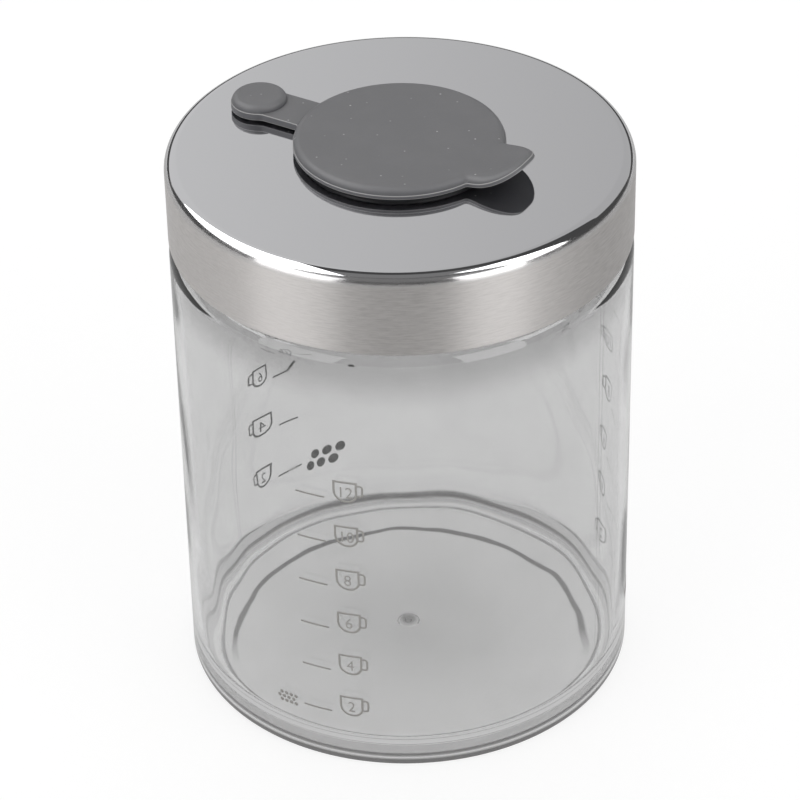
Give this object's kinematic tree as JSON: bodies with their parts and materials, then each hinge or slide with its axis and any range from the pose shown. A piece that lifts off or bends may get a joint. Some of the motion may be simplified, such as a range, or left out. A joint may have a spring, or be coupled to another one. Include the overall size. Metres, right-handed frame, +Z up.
{
  "type": "coffee grinder grounds container",
  "caption": "Round clear plastic jar with a steel push-in lid and a hinged soft stopper over the filling hole.",
  "frame": {"origin": "middle of the jar's standing plane", "axes": "+Z up along the jar's axis, +X from the stopper's anchor over the lid's middle to its pull tab"},
  "size_m": [0.095, 0.095, 0.1286],
  "materials": {
    "jar_plastic": "clear smoky grey, glossy",
    "cap_steel": "polished top, satin skirt",
    "liner_plastic": "fine moulded",
    "seal_silicone": "matt",
    "stopper_silicone": "matt",
    "print_ink": "screen-printed ink"
  },
  "bodies": {
    "jar": {"jar": "jar_plastic"},
    "lid": {"lid_cap": "cap_steel", "lid_liner": "liner_plastic", "lid_seal": "seal_silicone", "stopper_anchor": "stopper_silicone"},
    "flap": {"stopper_flap": "stopper_silicone"}
  },
  "joints": [
    {"name": "lid_lift", "type": "slide", "parent": "jar", "child": "lid", "axis": [0, 0, 1], "range_m": [0, 0.04]},
    {"name": "flap_hinge", "type": "hinge", "parent": "lid", "child": "flap", "pos_m": [-0.0244, 0, 0.12445], "axis": [0, -1, 0], "range_deg": [0, 135]}
  ]
}
